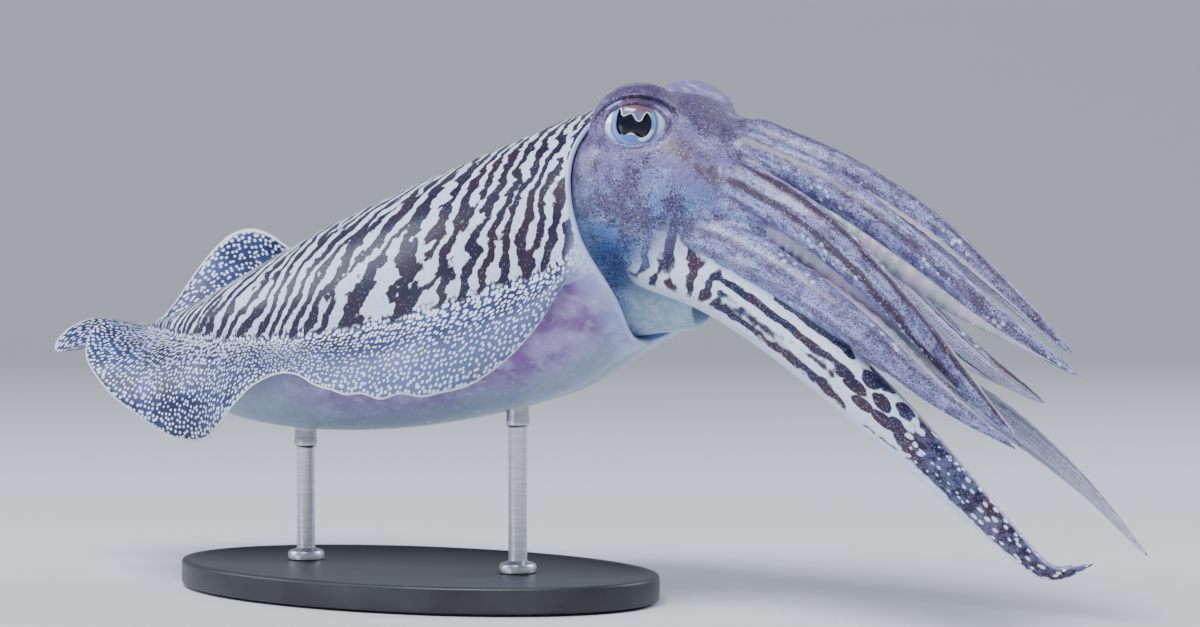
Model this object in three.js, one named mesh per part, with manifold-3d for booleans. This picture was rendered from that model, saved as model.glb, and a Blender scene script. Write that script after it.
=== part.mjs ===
// A common cuttlefish hovering with its arms reached forward, held by a plain display stand.
// Millimetres, +Z up, heading along +X, right side towards -Y, floor at Z = 0.
import * as THREE from 'three';
import Module from 'manifold-3d';

const wasm = await Module();
wasm.setup();

// Mantle: an egg that points at the tail and opens towards the head
const TAIL_X = -104;
const RIM_X = 75;
const TAIL_Z = 86;
const RIM_RISE = 28;
const HALF_WIDTH = 45;
const BACK_HEIGHT = 44;
const BELLY_DEPTH = 37.5;
const TAIL_PITCH = 2;
const RIM_PITCH = 11;
const MOUTH_LIP = 2.2;
const MOUTH_DEPTH = 9;

// Fins: a skirt round the mantle, as keys of place, width, droop and sweep back along each root
const FIN_ROOT_ANGLE = 102;
const FIN_ROOT_START = 0.012;
const FIN_ROOT_LENGTH = 0.955;
const FIN_ROOT_THICK = 3.4;
const FIN_EDGE_THICK = 0.9;
const FIN_SPLIT = 0.4;
const RIGHT_FIN = [
  [0, 26, -8, 82], [0.1, 27, 35, 52], [0.2, 31, 66, 26], [0.27, 30, 70, -6], [0.34, 25, 25, -36],
  [0.45, 24, 19, -31], [0.67, 24, 51, -16], [0.88, 23, 70, -6], [1, 6, 50, -10],
];
const LEFT_FIN = [
  [0, 62, 12, 96], [0.05, 46, -6, 86], [0.09, 35, -8, 72], [0.155, 43, -58, 54], [0.22, 36, -60, 34],
  [0.3, 26, -25, 15], [0.46, 25, 25, 0], [0.62, 24, 38, -5], [0.82, 23, 0, -5], [1, 6, 0, -10],
];

// Head: keys of x, z, half width, half height and pitch from the neck to the mouth
const HEAD = [
  [54, 115, 30, 24, 6], [72, 123, 32.5, 29, -4], [88, 132, 33, 30, -18],
  [104, 125, 33, 27, -27], [119, 117, 27, 21, -30], [131, 110, 16, 14, -30],
];
const HEAD_BOXINESS = 0.78;
const EYE_CENTRE = [91, 21, 149.2];
const EYE_RADIUS = 12.5;
const BROW_CENTRE = [90, 17.5, 147.5];
const BROW_RADIUS = 15.6;
const LEFT_EYE_RISE = 2.2;

// Funnel: keys of x, z, half width and half height along the siphon under the head
const FUNNEL = [[58, 101, 24, 14], [74, 98, 20, 14], [90, 97, 14, 11], [103, 95, 9.5, 7.5]];
const FUNNEL_PITCH = -8;
const FUNNEL_BORE = 5.5;
const FUNNEL_BORE_DEPTH = 16;

// Arms: a path from the root to the tip, the width at the root, how it tapers, and how far it is
// flattened from side to side
const ARMS = [
  { name: 'arm_1_right', width: 15.6, taper: [1.0, 0.6], thin: 0.86,
    path: [[121, -9, 142], [150, -11, 130], [176, -12, 113], [200, -10, 94], [226, -7, 76]] },
  { name: 'arm_1_left', width: 13.7, taper: [0.95, 0.47], thin: 0.86,
    path: [[118, 9, 146], [146, 11, 135], [173, 12, 119], [196, 10, 101], [219, 6, 82]] },
  { name: 'arm_2_right', width: 15.1, taper: [1.5, 0.77], thin: 0.86,
    path: [[125, -21, 132], [151, -26, 119], [173, -25, 100], [192, -18, 77], [210, -12, 56]] },
  { name: 'arm_2_left', width: 13.2, taper: [0.95, 0.5], thin: 0.86,
    path: [[120, 21, 131], [143, 26, 116], [163, 24, 97], [186, 18, 80], [209, 12, 67]] },
  { name: 'arm_3_right', width: 16.8, taper: [1.05, 0.68], thin: 0.86,
    path: [[114, -23, 117], [141, -27, 105], [166, -30, 90], [188, -27, 72], [212, -22, 56]] },
  { name: 'arm_3_left', width: 14.4, taper: [1.25, 0.6], thin: 0.86,
    path: [[114, 22, 117], [134, 27, 104], [152, 27, 91], [172, 20, 77], [190, 13, 64]] },
  { name: 'arm_4_right', width: 21.6, taper: [1.6, 0.72], thin: 0.68,
    path: [[100, -21, 109.5], [117, -22, 103.5], [138, -24, 91.5], [161, -27, 75], [185, -25, 54],
      [207, -21, 32], [220, -18, 21], [233, -16, 24]] },
  { name: 'arm_4_left', width: 19, taper: [1.0, 0.72], thin: 0.68,
    path: [[100, 20, 107], [117, 20, 99.5], [139, 22, 86.5], [163, 26, 74], [190, 27, 61], [215, 26, 43],
      [237, 24, 22]] },
];
const ARM_LENGTHS = { base: [0, 1 / 3], mid: [1 / 3, 2 / 3], tip: [2 / 3, 1] };
const RINGS_PER_LENGTH = 5;
const ARM_ROOT_DEPTH = 10;

// Stand: an oval plate and two rods up to the belly
const STAND_LENGTH = 170;
const STAND_WIDTH = 100;
const STAND_THICK = 9;
const ROD_RADIUS = 3;
const ROD_XS = { stand_rod_rear: -42, stand_rod_front: 38 };

// Pieces that touch keep this gap
const GAP = 0.3;

const rad = THREE.MathUtils.degToRad;
const ease = (x) => THREE.MathUtils.smoothstep(x, 0, 1);
const sum = (a, b) => a.clone().add(b);

const skins = {
  back: new THREE.MeshStandardMaterial({ color: 0x39365f, roughness: 0.45, metalness: 0 }),
  fin: new THREE.MeshStandardMaterial({ color: 0x7c86b8, roughness: 0.45, metalness: 0 }),
  head: new THREE.MeshStandardMaterial({ color: 0x8c8fb4, roughness: 0.45, metalness: 0 }),
  arm: new THREE.MeshStandardMaterial({ color: 0xa9a6c4, roughness: 0.45, metalness: 0 }),
  funnel: new THREE.MeshStandardMaterial({ color: 0x9db9c9, roughness: 0.4, metalness: 0 }),
  eye: new THREE.MeshStandardMaterial({ color: 0xc9d2e6, roughness: 0.1, metalness: 0 }),
  base: new THREE.MeshStandardMaterial({ color: 0x24272c, roughness: 0.4, metalness: 0 }),
  rod: new THREE.MeshStandardMaterial({ color: 0xb4b8bc, roughness: 0.3, metalness: 1 }),
};

// The value of one column of keys at a place along them, on a smooth curve through them
function along(keys, place, column) {
  const s = THREE.MathUtils.clamp(place, keys[0][0], keys.at(-1)[0]);
  const slope = (i) => {
    const a = keys[Math.max(i - 1, 0)];
    const b = keys[Math.min(i + 1, keys.length - 1)];
    return (b[column] - a[column]) / (b[0] - a[0]);
  };
  const i = Math.max(keys.findIndex((key) => key[0] >= s) - 1, 0);
  const [start, end] = [keys[i], keys[i + 1]];
  const step = end[0] - start[0];
  const f = (s - start[0]) / step;
  const rise = end[column] - start[column];
  const bend = (slope(i) * step - rise) * (1 - f) - (slope(i + 1) * step - rise) * f;
  return start[column] + rise * f + f * (1 - f) * bend;
}

// A closed body from rings of points, with a flat fan on its first and last ring
function bodyOf(rings) {
  const points = rings.flat();
  const count = rings[0].length;
  const faces = [];
  for (let i = 0; i + 1 < rings.length; i += 1) {
    for (let j = 0; j < count; j += 1) {
      const a = i * count + j;
      const b = i * count + ((j + 1) % count);
      faces.push(a, b, b + count, a, b + count, a + count);
    }
  }
  for (const [ring, first] of [[rings[0], 0], [rings.at(-1), (rings.length - 1) * count]]) {
    const middle = ring.reduce(sum, new THREE.Vector3()).divideScalar(count);
    points.push(middle);
    for (let j = 0; j < count; j += 1) {
      const edge = [first + j, first + ((j + 1) % count)];
      faces.push(...(first === 0 ? edge.reverse() : edge), points.length - 1);
    }
  }
  return solidOf(points.flatMap((p) => p.toArray()), faces);
}

// The same faces as a manifold solid, turned so that they point out
function solidOf(coordinates, faces) {
  const make = (order) => new wasm.Manifold(new wasm.Mesh({
    numProp: 3,
    vertProperties: new Float32Array(coordinates),
    triVerts: new Uint32Array(order),
  }));
  const solid = make(faces);
  return solid.volume() > 0 ? solid : make(faces.toReversed());
}

// What is left of a solid when its neighbours are cut away
function cut(solid, neighbours) {
  return neighbours.reduce((left, neighbour) => left.subtract(neighbour), solid);
}

function meshOf(name, solid, material) {
  const { vertProperties, triVerts } = solid.getMesh();
  const geometry = new THREE.BufferGeometry();
  geometry.setAttribute('position', new THREE.BufferAttribute(vertProperties, 3));
  geometry.setIndex(new THREE.BufferAttribute(triVerts, 1));
  const mesh = new THREE.Mesh(geometry, material);
  mesh.name = name;
  return mesh;
}

function ball(centre, radius) {
  const rings = [];
  for (let i = 1; i < 10; i += 1) {
    const polar = (Math.PI * i) / 10;
    rings.push(circle(18).map((angle) => new THREE.Vector3(
      centre[0] + radius * Math.sin(polar) * Math.cos(angle),
      centre[1] + radius * Math.cos(polar),
      centre[2] + radius * Math.sin(polar) * Math.sin(angle),
    )));
  }
  return bodyOf(rings);
}

function circle(count) {
  return Array.from({ length: count }, (_, j) => (2 * Math.PI * j) / count);
}

function steps(from, to, count) {
  return Array.from({ length: count + 1 }, (_, i) => from + ((to - from) * i) / count);
}

// How far the mantle's free edge reaches forward: a point on the back, a lobe low on each side
function rimReach(angle) {
  return 2 + 15 * hill(angle, 0, 32) + 8 * hill(angle, 125, 36);
}

// A smooth bump on both sides of the mantle, in degrees from the middle of the back
function hill(angle, middle, spread) {
  const fromBack = Math.abs(THREE.MathUtils.radToDeg(Math.atan2(Math.sin(angle), Math.cos(angle))));
  return Math.exp(-(((fromBack - middle) / spread) ** 2));
}

// A point of the mantle: s runs from the tail to the rim, angle from the back round the right side
function mantlePoint(s, angle, grow = 0) {
  const pitch = rad(TAIL_PITCH + (RIM_PITCH - TAIL_PITCH) * s);
  const width = HALF_WIDTH * (1 - (1 - s) ** 2.4) ** 0.74 * (1 - 0.14 * ease((s - 0.72) / 0.28)) + grow;
  const back = BACK_HEIGHT * (1 - (1 - s) ** 2.7) ** 1.55 * (1 - 0.05 * ease((s - 0.85) / 0.15)) + grow;
  const belly = BELLY_DEPTH * (1 - (1 - s) ** 4.4) ** 0.4 * (1 - 0.12 * ease((s - 0.84) / 0.16)) + grow;
  const across = width * Math.sign(Math.sin(angle)) * Math.abs(Math.sin(angle)) ** 0.9;
  const up = Math.cos(angle) > 0 ? back * Math.cos(angle) ** 0.95 : belly * Math.cos(angle);
  const forward = rimReach(angle) * ease((s - 0.6) / 0.4);
  return new THREE.Vector3(
    TAIL_X + (RIM_X - TAIL_X) * s + forward * Math.cos(pitch) - up * Math.sin(pitch),
    -across,
    TAIL_Z + RIM_RISE * s ** 3 + forward * (Math.sin(pitch) + 0.2 * hill(angle, 0, 40)) + up * Math.cos(pitch),
  );
}

function mantle(grow = 0) {
  const angles = circle(32);
  const rings = steps(0.05, 1, 19).map((u) => angles.map((angle) => mantlePoint(u ** 1.5, angle, grow)));
  const rim = rings.at(-1);
  const middle = rim.reduce(sum, new THREE.Vector3()).divideScalar(rim.length);
  const shrunk = (lip, depth) => rim.map((p) => {
    const inward = middle.clone().sub(p);
    const point = p.clone().addScaledVector(inward.clone().normalize(), lip);
    point.x -= depth;
    return point;
  });
  rings.push(shrunk(MOUTH_LIP + 2 * grow, -grow));
  rings.push(shrunk(MOUTH_LIP * 2 + 2 * grow, MOUTH_DEPTH - grow));
  return bodyOf(rings);
}

// A point of a fin's middle sheet: s along the root from the tail, r from the root to the edge
function finPoint(side, keys, s, r) {
  const root = mantlePoint(FIN_ROOT_START + FIN_ROOT_LENGTH * s, rad(FIN_ROOT_ANGLE));
  const corner = Math.sqrt(1 - (1 - THREE.MathUtils.clamp(s / 0.06, 0, 1)) ** 2);
  const width = along(keys, s, 1) * (0.55 + 0.45 * corner);
  const bend = rad(along(keys, s, 2)) * (0.4 + 0.6 * Math.max(r, 0));
  const sweep = rad(along(keys, s, 3));
  return new THREE.Vector3(
    root.x - Math.sin(sweep) * Math.cos(bend) * width * r,
    side * (root.y - Math.cos(sweep) * Math.cos(bend) * width * r),
    root.z - Math.sin(bend) * width * r,
  );
}

function fin(side, keys, from, to, count) {
  const reach = [-0.16, 0.2, 0.5, 0.78, 1];
  const rings = steps(from, to, count).map((s) => {
    const sheet = (sign) => reach.map((r) => {
      const here = finPoint(side, keys, s, r);
      const ahead = finPoint(side, keys, s + 0.004, r).sub(finPoint(side, keys, s - 0.004, r));
      const outward = finPoint(side, keys, s, r + 0.02).sub(finPoint(side, keys, s, r - 0.02));
      const normal = ahead.cross(outward).normalize();
      const thick = THREE.MathUtils.lerp(FIN_ROOT_THICK, FIN_EDGE_THICK, Math.max(r, 0) ** 0.6);
      return here.addScaledVector(normal, (sign * thick) / 2);
    });
    return [...sheet(1), ...sheet(-1).toReversed()];
  });
  return bodyOf(rings);
}

// A bent tube of ovals in the vertical plane, from keys of x, z, half width, half height and pitch
function tube(keys, pitchOf, rows, around, grow = 0, boxiness = 1) {
  const numbered = keys.map((key, i) => [i, ...key]);
  return bodyOf(steps(0, keys.length - 1, rows).map((i) => {
    const [x, z, width, height] = [1, 2, 3, 4].map((column) => along(numbered, i, column));
    const pitch = rad(pitchOf(numbered, i));
    return circle(around).map((angle) => {
      const up = (height + grow) * Math.sign(Math.cos(angle)) * Math.abs(Math.cos(angle)) ** boxiness;
      const across = (width + grow) * Math.sign(Math.sin(angle)) * Math.abs(Math.sin(angle)) ** boxiness;
      return new THREE.Vector3(x - up * Math.sin(pitch), -across, z + up * Math.cos(pitch));
    });
  }));
}

// A point of the right side, or its twin on the left, which is carried a little higher
function mirrored([x, y, z], side) {
  return [x, side * y, z + (side > 0 ? LEFT_EYE_RISE : 0)];
}

function head(grow = 0) {
  const brows = [-1, 1].map((side) => ball(mirrored(BROW_CENTRE, side), BROW_RADIUS + grow));
  const skull = tube(HEAD, (keys, i) => along(keys, i, 5), 13, 26, grow, HEAD_BOXINESS);
  return brows.reduce((joined, brow) => joined.add(brow), skull);
}

function funnel() {
  const outside = tube(FUNNEL, () => FUNNEL_PITCH, 7, 20);
  const [x, z] = FUNNEL.at(-1);
  const bore = tube([[x - FUNNEL_BORE_DEPTH, z + 2, FUNNEL_BORE, FUNNEL_BORE * 0.7],
    [x + 5, z - 0.5, FUNNEL_BORE * 1.2, FUNNEL_BORE]], () => FUNNEL_PITCH, 2, 14);
  return outside.subtract(bore);
}

// The curve of an arm, carried back into the head by its root depth
function armCurve(arm) {
  const path = arm.path.map((point) => new THREE.Vector3(...point));
  const root = path[0].clone().sub(path[1]).setLength(ARM_ROOT_DEPTH).add(path[0]);
  return new THREE.CatmullRomCurve3([root, ...path], false, 'catmullrom', 0.5);
}

// One length of an arm: a tube of upright ovals
function armLength(arm, from, to, grow = 0) {
  const curve = armCurve(arm);
  const rings = steps(from, to, Math.round((to - from) * 3 * RINGS_PER_LENGTH)).map((u) => {
    const middle = curve.getPointAt(u);
    const ahead = curve.getTangentAt(u);
    const side = new THREE.Vector3(0, 1, 0).addScaledVector(ahead, -ahead.y).normalize();
    const up = ahead.clone().cross(side);
    const start = Math.min(1, (arm.thin < 0.8 ? 0.85 : 0.45) + u * 8);
    const radius = (arm.width / 2) * (1 - (u * 0.985) ** arm.taper[0]) ** arm.taper[1] * start + grow;
    return circle(8).map((angle) => middle.clone()
      .addScaledVector(up, radius * Math.cos(angle))
      .addScaledVector(side, (radius * arm.thin + grow * (1 - arm.thin)) * Math.sin(angle)));
  });
  return bodyOf(rings);
}

function arms(neighbours) {
  const cutters = [...neighbours];
  const pieces = [];
  for (const arm of ARMS) {
    for (const [length, [from, to]] of Object.entries(ARM_LENGTHS)) {
      const seam = from > 0 ? 0.0025 : 0;
      const piece = cut(armLength(arm, from + seam, to), cutters);
      pieces.push(meshOf(`${arm.name}_${length}`, piece, skins.arm));
    }
    cutters.push(armLength(arm, 0, 1, GAP));
  }
  return pieces;
}

function eyes() {
  return Object.entries({ eye_right: -1, eye_left: 1 }).map(([name, side]) => {
    const centre = mirrored(EYE_CENTRE, side);
    return { name, solid: ball(centre, EYE_RADIUS), room: ball(centre, EYE_RADIUS + GAP) };
  });
}

// An upright oval plate or round rod between two heights, with a small bevel on the plate's top
function post(x, halfLength, halfWidth, bottom, top, bevel, count) {
  const oval = (inset, z) => circle(count).map((angle) => new THREE.Vector3(
    x + (halfLength - inset) * Math.cos(angle),
    (halfWidth - inset) * Math.sin(angle),
    z,
  ));
  return bodyOf([oval(0, bottom), oval(0, top - bevel), oval(bevel, top)]);
}

function stand(body) {
  const plate = post(0, STAND_LENGTH / 2, STAND_WIDTH / 2, 0, STAND_THICK, 1.5, 44);
  const rods = Object.entries(ROD_XS).map(([name, x]) => {
    const rod = post(x, ROD_RADIUS, ROD_RADIUS, STAND_THICK + GAP, TAIL_Z, 0.01, 20);
    return meshOf(name, rod.subtract(body), skins.rod);
  });
  return [meshOf('stand_base', plate, skins.base), ...rods];
}

const cuttlefish = new THREE.Group();
const grownMantle = mantle(GAP);
const eyeballs = eyes();
const rooms = eyeballs.map((eye) => eye.room);
cuttlefish.add(meshOf('mantle', mantle(), skins.back));
for (const [name, side, keys] of [['fin_right', 1, RIGHT_FIN], ['fin_left', -1, LEFT_FIN]]) {
  const rear = fin(side, keys, 0, FIN_SPLIT - 0.0015, 14);
  const front = fin(side, keys, FIN_SPLIT + 0.0015, 1, 12);
  cuttlefish.add(meshOf(`${name}_rear`, rear.subtract(grownMantle), skins.fin));
  cuttlefish.add(meshOf(`${name}_front`, front.subtract(grownMantle), skins.fin));
}
cuttlefish.add(meshOf('head', cut(head(), [grownMantle, ...rooms]), skins.head));
for (const eye of eyeballs) {
  cuttlefish.add(meshOf(eye.name, eye.solid, skins.eye));
}
cuttlefish.add(meshOf('funnel', cut(funnel(), [grownMantle, head(GAP)]), skins.funnel));
cuttlefish.add(...arms([head(GAP), grownMantle]));
cuttlefish.add(...stand(grownMantle));

export default cuttlefish;
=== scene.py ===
import math

import bpy
import numpy as np
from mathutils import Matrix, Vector, kdtree


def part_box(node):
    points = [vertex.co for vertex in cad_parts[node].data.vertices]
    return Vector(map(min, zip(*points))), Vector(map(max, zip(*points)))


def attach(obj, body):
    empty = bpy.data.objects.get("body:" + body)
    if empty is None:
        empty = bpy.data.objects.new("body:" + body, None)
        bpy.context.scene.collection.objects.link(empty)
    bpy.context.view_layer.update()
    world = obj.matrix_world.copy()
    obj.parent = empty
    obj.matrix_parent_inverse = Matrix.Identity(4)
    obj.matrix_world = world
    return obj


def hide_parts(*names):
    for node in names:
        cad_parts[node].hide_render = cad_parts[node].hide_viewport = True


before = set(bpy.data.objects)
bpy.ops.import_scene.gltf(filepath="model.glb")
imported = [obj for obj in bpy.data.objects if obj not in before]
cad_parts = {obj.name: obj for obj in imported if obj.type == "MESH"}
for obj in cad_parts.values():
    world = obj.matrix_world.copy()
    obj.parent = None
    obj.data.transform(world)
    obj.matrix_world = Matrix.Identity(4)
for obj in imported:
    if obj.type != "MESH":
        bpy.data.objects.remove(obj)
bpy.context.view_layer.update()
MM = 0.001

# Camera. It stands level with the animal on its right side, a little ahead of it, at the
# photograph's angle, with a long lens.
CAMERA_AZIMUTH = math.radians(27)
CAMERA_ELEVATION = math.radians(2)
CAMERA_DISTANCE = 0.9
CAMERA_TARGET = Vector((0.069, -0.003, 0.092))
towards_camera = Vector((
    math.sin(CAMERA_AZIMUTH) * math.cos(CAMERA_ELEVATION),
    -math.cos(CAMERA_AZIMUTH) * math.cos(CAMERA_ELEVATION),
    math.sin(CAMERA_ELEVATION),
))
bpy.ops.object.select_all(action="DESELECT")
bpy.ops.object.camera_add(location=CAMERA_TARGET + towards_camera * CAMERA_DISTANCE)
camera = bpy.context.object
camera.rotation_euler = (-towards_camera).to_track_quat("-Z", "Y").to_euler()
camera.data.sensor_width = 36
camera.data.lens = 86.4
camera.data.clip_start = 0.05
bpy.context.scene.camera = camera


# Mantle and fins. The real mantle is a muscular bag, egg-shaped and pointed at the tail, and the
# fins are a thin rippling skirt along each side. Both are one skin, lofted here in rings from tail
# to rim, with the fins drawn out of each ring.
TAIL_X, RIM_X = -104, 75
TAIL_Z, RIM_RISE = 86, 28
HALF_WIDTH, BACK_HEIGHT, BELLY_DEPTH = 45, 44, 37.5
TAIL_PITCH, RIM_PITCH = 2, 11
FIN_ROOT_ANGLE, FIN_ROOT_START, FIN_ROOT_LENGTH = 102, 0.012, 0.955
FIN_ROOT_THICK, FIN_EDGE_THICK = 3.4, 0.9
RIGHT_FIN = [
    (0, 26, -8, 82), (0.1, 27, 35, 52), (0.2, 31, 66, 26), (0.27, 30, 70, -6), (0.34, 25, 25, -36),
    (0.45, 24, 19, -31), (0.67, 24, 51, -16), (0.88, 23, 70, -6), (1, 6, 50, -10),
]
LEFT_FIN = [
    (0, 62, 12, 96), (0.05, 46, -6, 86), (0.09, 35, -8, 72), (0.155, 43, -58, 54), (0.22, 36, -60, 34),
    (0.3, 26, -25, 15), (0.46, 25, 25, 0), (0.62, 24, 38, -5), (0.82, 23, 0, -5), (1, 6, 0, -10),
]


def ease(x):
    x = np.clip(x, 0, 1)
    return x * x * (3 - 2 * x)


def along(keys, place, column):
    """The value of one column of keys at a place along them, on a smooth curve through them."""
    table = np.array(keys, float)
    spots, values = table[:, 0], table[:, column]
    slopes = np.empty(len(spots))
    slopes[1:-1] = (values[2:] - values[:-2]) / (spots[2:] - spots[:-2])
    slopes[0] = (values[1] - values[0]) / (spots[1] - spots[0])
    slopes[-1] = (values[-1] - values[-2]) / (spots[-1] - spots[-2])
    place = np.clip(place, spots[0], spots[-1])
    i = np.clip(np.searchsorted(spots, place, side="left") - 1, 0, len(spots) - 2)
    step = spots[i + 1] - spots[i]
    f = (place - spots[i]) / step
    rise = values[i + 1] - values[i]
    bend = (slopes[i] * step - rise) * (1 - f) - (slopes[i + 1] * step - rise) * f
    return values[i] + rise * f + f * (1 - f) * bend


def hill(x, middle, spread):
    return np.exp(-((x - middle) / spread) ** 2)


def mantle_point(s, degrees):
    """Points of the mantle: s from tail to rim, degrees from the back round the right side."""
    s, degrees = np.broadcast_arrays(s, degrees)
    angle = np.radians(degrees)
    pitch = np.radians(TAIL_PITCH + (RIM_PITCH - TAIL_PITCH) * s)
    left = np.clip(1 - s, 0, 1)
    width = HALF_WIDTH * (1 - left**2.4) ** 0.74 * (1 - 0.14 * ease((s - 0.72) / 0.28))
    back = BACK_HEIGHT * (1 - left**2.7) ** 1.55 * (1 - 0.05 * ease((s - 0.85) / 0.15))
    belly = BELLY_DEPTH * (1 - left**4.4) ** 0.4 * (1 - 0.12 * ease((s - 0.84) / 0.16))
    cosine, sine = np.cos(angle), np.sin(angle)
    across = width * np.sign(sine) * np.abs(sine) ** 0.9
    up = np.where(cosine > 0, back * np.abs(cosine) ** 0.95, belly * cosine)
    from_back = np.abs((degrees + 180) % 360 - 180)
    reach = 2 + 15 * hill(from_back, 0, 32) + 8 * hill(from_back, 125, 36)
    forward = reach * ease((s - 0.6) / 0.4)
    lift = np.sin(pitch) + 0.2 * hill(from_back, 0, 40)
    return np.stack([
        TAIL_X + (RIM_X - TAIL_X) * s + forward * np.cos(pitch) - up * np.sin(pitch),
        -across,
        TAIL_Z + RIM_RISE * s**3 + forward * lift + up * np.cos(pitch),
    ], axis=-1)


def fin_point(side, s, r):
    """Points of a fin's middle sheet: s along its root from the tail, r from the root to the edge."""
    s, r = np.broadcast_arrays(s, r)
    keys = RIGHT_FIN if side > 0 else LEFT_FIN
    root = mantle_point(FIN_ROOT_START + FIN_ROOT_LENGTH * s, FIN_ROOT_ANGLE)
    rounding = 0.55 + 0.45 * np.sqrt(1 - (1 - np.clip(s / 0.06, 0, 1)) ** 2)
    width = along(keys, s, 1) * rounding * (1 - 0.97 * ease((s - 0.95) / 0.08))
    droop, sweep = np.radians(along(keys, s, 2)), np.radians(along(keys, s, 3))
    bend = droop * (0.4 + 0.6 * np.clip(r, 0, 1))
    ruffle = np.sin(s * 47 + side + 3 * np.sin(s * 9)) * np.sin(s * 13 + 2) * 0.9 * np.clip(r, 0, 1) ** 3
    return np.stack([
        root[..., 0] - np.sin(sweep) * np.cos(bend) * width * r,
        side * (root[..., 1] - np.cos(sweep) * np.cos(bend) * width * r),
        root[..., 2] - np.sin(bend) * width * r + ruffle * ease(width / 15),
    ], axis=-1)


BACK_COLUMNS, FIN_COLUMNS, BELLY_COLUMNS = 42, 16, 24
ROOT_SPREAD = 5
fin_reach = np.linspace(0, 1, FIN_COLUMNS + 1)[1:] ** 0.9
half_ring = [(angle, 0.0, 0) for angle in np.linspace(0, FIN_ROOT_ANGLE - ROOT_SPREAD, BACK_COLUMNS)]
half_ring += [(FIN_ROOT_ANGLE - ROOT_SPREAD * (1 - r), r, 1) for r in fin_reach]
half_ring += [(FIN_ROOT_ANGLE + ROOT_SPREAD * (1 - r), r, -1) for r in fin_reach[::-1]]
half_ring += [(angle, 0.0, 0) for angle in np.linspace(FIN_ROOT_ANGLE + ROOT_SPREAD, 180, BELLY_COLUMNS)]
ring = [(angle, r, sheet, 1) for angle, r, sheet in reversed(half_ring)]
ring += [(angle, r, sheet, -1) for angle, r, sheet in half_ring[1:]]
column_angle, column_reach, column_sheet, column_side = (np.array(c, float) for c in zip(*ring))


def flesh_ring(s):
    """One ring of skin round the mantle and out over both fins."""
    spot = (s - FIN_ROOT_START) / FIN_ROOT_LENGTH
    points = mantle_point(s, column_angle)
    points[:, 1] *= column_side
    for side in (1, -1):
        fin = (column_sheet != 0) & (column_side == side)
        r = column_reach[fin]
        spots = np.full(r.shape, spot)
        here = fin_point(side, np.clip(spots, 0, None), r)
        after = fin_point(side, np.clip(spots, 0, None) + 0.003, r)
        ahead = after - fin_point(side, np.clip(spots, 0.003, None) - 0.003, r)
        out = fin_point(side, spots, r + 0.02) - fin_point(side, spots, r - 0.02)
        normal = np.cross(ahead, out)
        normal *= side / np.linalg.norm(normal, axis=1)[:, None]
        thick = (FIN_ROOT_THICK + (FIN_EDGE_THICK - FIN_ROOT_THICK) * r**0.6) * ease(spot / 0.02 + 0.02)
        thick = thick * np.sqrt(np.clip(1.002 - r**12, 0, 1))
        sheet = here - normal * (column_sheet[fin] * thick / 2)[:, None]
        blend = ease(r / 0.28)[:, None] * ease((1.03 - spot) / 0.06)
        points[fin] = points[fin] * (1 - blend) + sheet * blend
    return points


def grid_piece(name, rows):
    """A sheet of skin from a grid primitive, each row of its vertices laid on a row of points."""
    points = np.array(rows)
    lines, columns = points.shape[:2]
    bpy.ops.object.select_all(action="DESELECT")
    bpy.ops.mesh.primitive_grid_add(x_subdivisions=columns - 1, y_subdivisions=lines - 1, size=1)
    piece = bpy.context.object
    piece.name = name
    piece.data.vertices.foreach_set("co", (points * MM).astype(np.float32).ravel())
    return piece


def edit(piece):
    bpy.ops.object.select_all(action="DESELECT")
    bpy.context.view_layer.objects.active = piece
    piece.select_set(True)
    bpy.ops.object.mode_set(mode="EDIT")
    bpy.ops.mesh.select_all(action="SELECT")


def leave_edit():
    bpy.ops.object.mode_set(mode="OBJECT")


def close_piece(piece, merge=0.00001):
    """Merges what meets, fills the open ends and turns the faces out."""
    edit(piece)
    bpy.ops.mesh.remove_doubles(threshold=merge)
    bpy.ops.mesh.dissolve_degenerate(threshold=0.000001)
    bpy.ops.mesh.select_all(action="SELECT")
    bpy.ops.mesh.fill_holes(sides=0)
    bpy.ops.mesh.select_all(action="SELECT")
    bpy.ops.mesh.normals_make_consistent(inside=False)
    leave_edit()


tail_rings = np.array([0, 0.0008, 0.002, 0.004, 0.007, 0.0105])
body_rings = FIN_ROOT_START + FIN_ROOT_LENGTH * np.concatenate([
    np.linspace(0, 0.06, 14), np.linspace(0.068, 1.0, 104)])
rim_rings = np.linspace(body_rings[-1] + 0.005, 1, 6)
rows = [flesh_ring(s) for s in np.concatenate([tail_rings, body_rings, rim_rings])]
row_place = list(np.concatenate([tail_rings, body_rings, rim_rings]))
rim = rows[-1]
rim_middle = rim.mean(axis=0)
inward = rim_middle - rim
inward /= np.linalg.norm(inward, axis=1)[:, None]
for lip, depth in ((0.5, -0.5), (1.2, -0.6), (1.9, 0.1), (2.6, 2), (3.4, 6), (5, 12), (8, 20)):
    rows.append(rim + inward * lip - [depth, 0, 0])
    row_place.append(1.0)
mantle = grid_piece("mantle_and_fins", rows)


ring_points = np.array(rows)
lengthwise = np.linalg.norm(np.diff(ring_points, axis=0), axis=2)
lengthwise = np.vstack([np.zeros(len(ring)), np.cumsum(lengthwise, axis=0)])
middle_row = int(np.argmin(np.abs(np.array(row_place) - 0.45)))
lengthwise -= lengthwise[middle_row]
girth = np.linalg.norm(np.diff(ring_points, axis=1), axis=2)
girth = np.hstack([np.zeros((len(rows), 1)), np.cumsum(girth, axis=1)])
girth -= girth[:, [len(ring) // 2]]


def store(piece, name, values):
    """Keeps a number at each vertex of a piece, for its material to read."""
    attribute = piece.data.attributes.new(name, "FLOAT", "POINT")
    attribute.data.foreach_set("value", np.asarray(values, np.float32).ravel())


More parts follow.
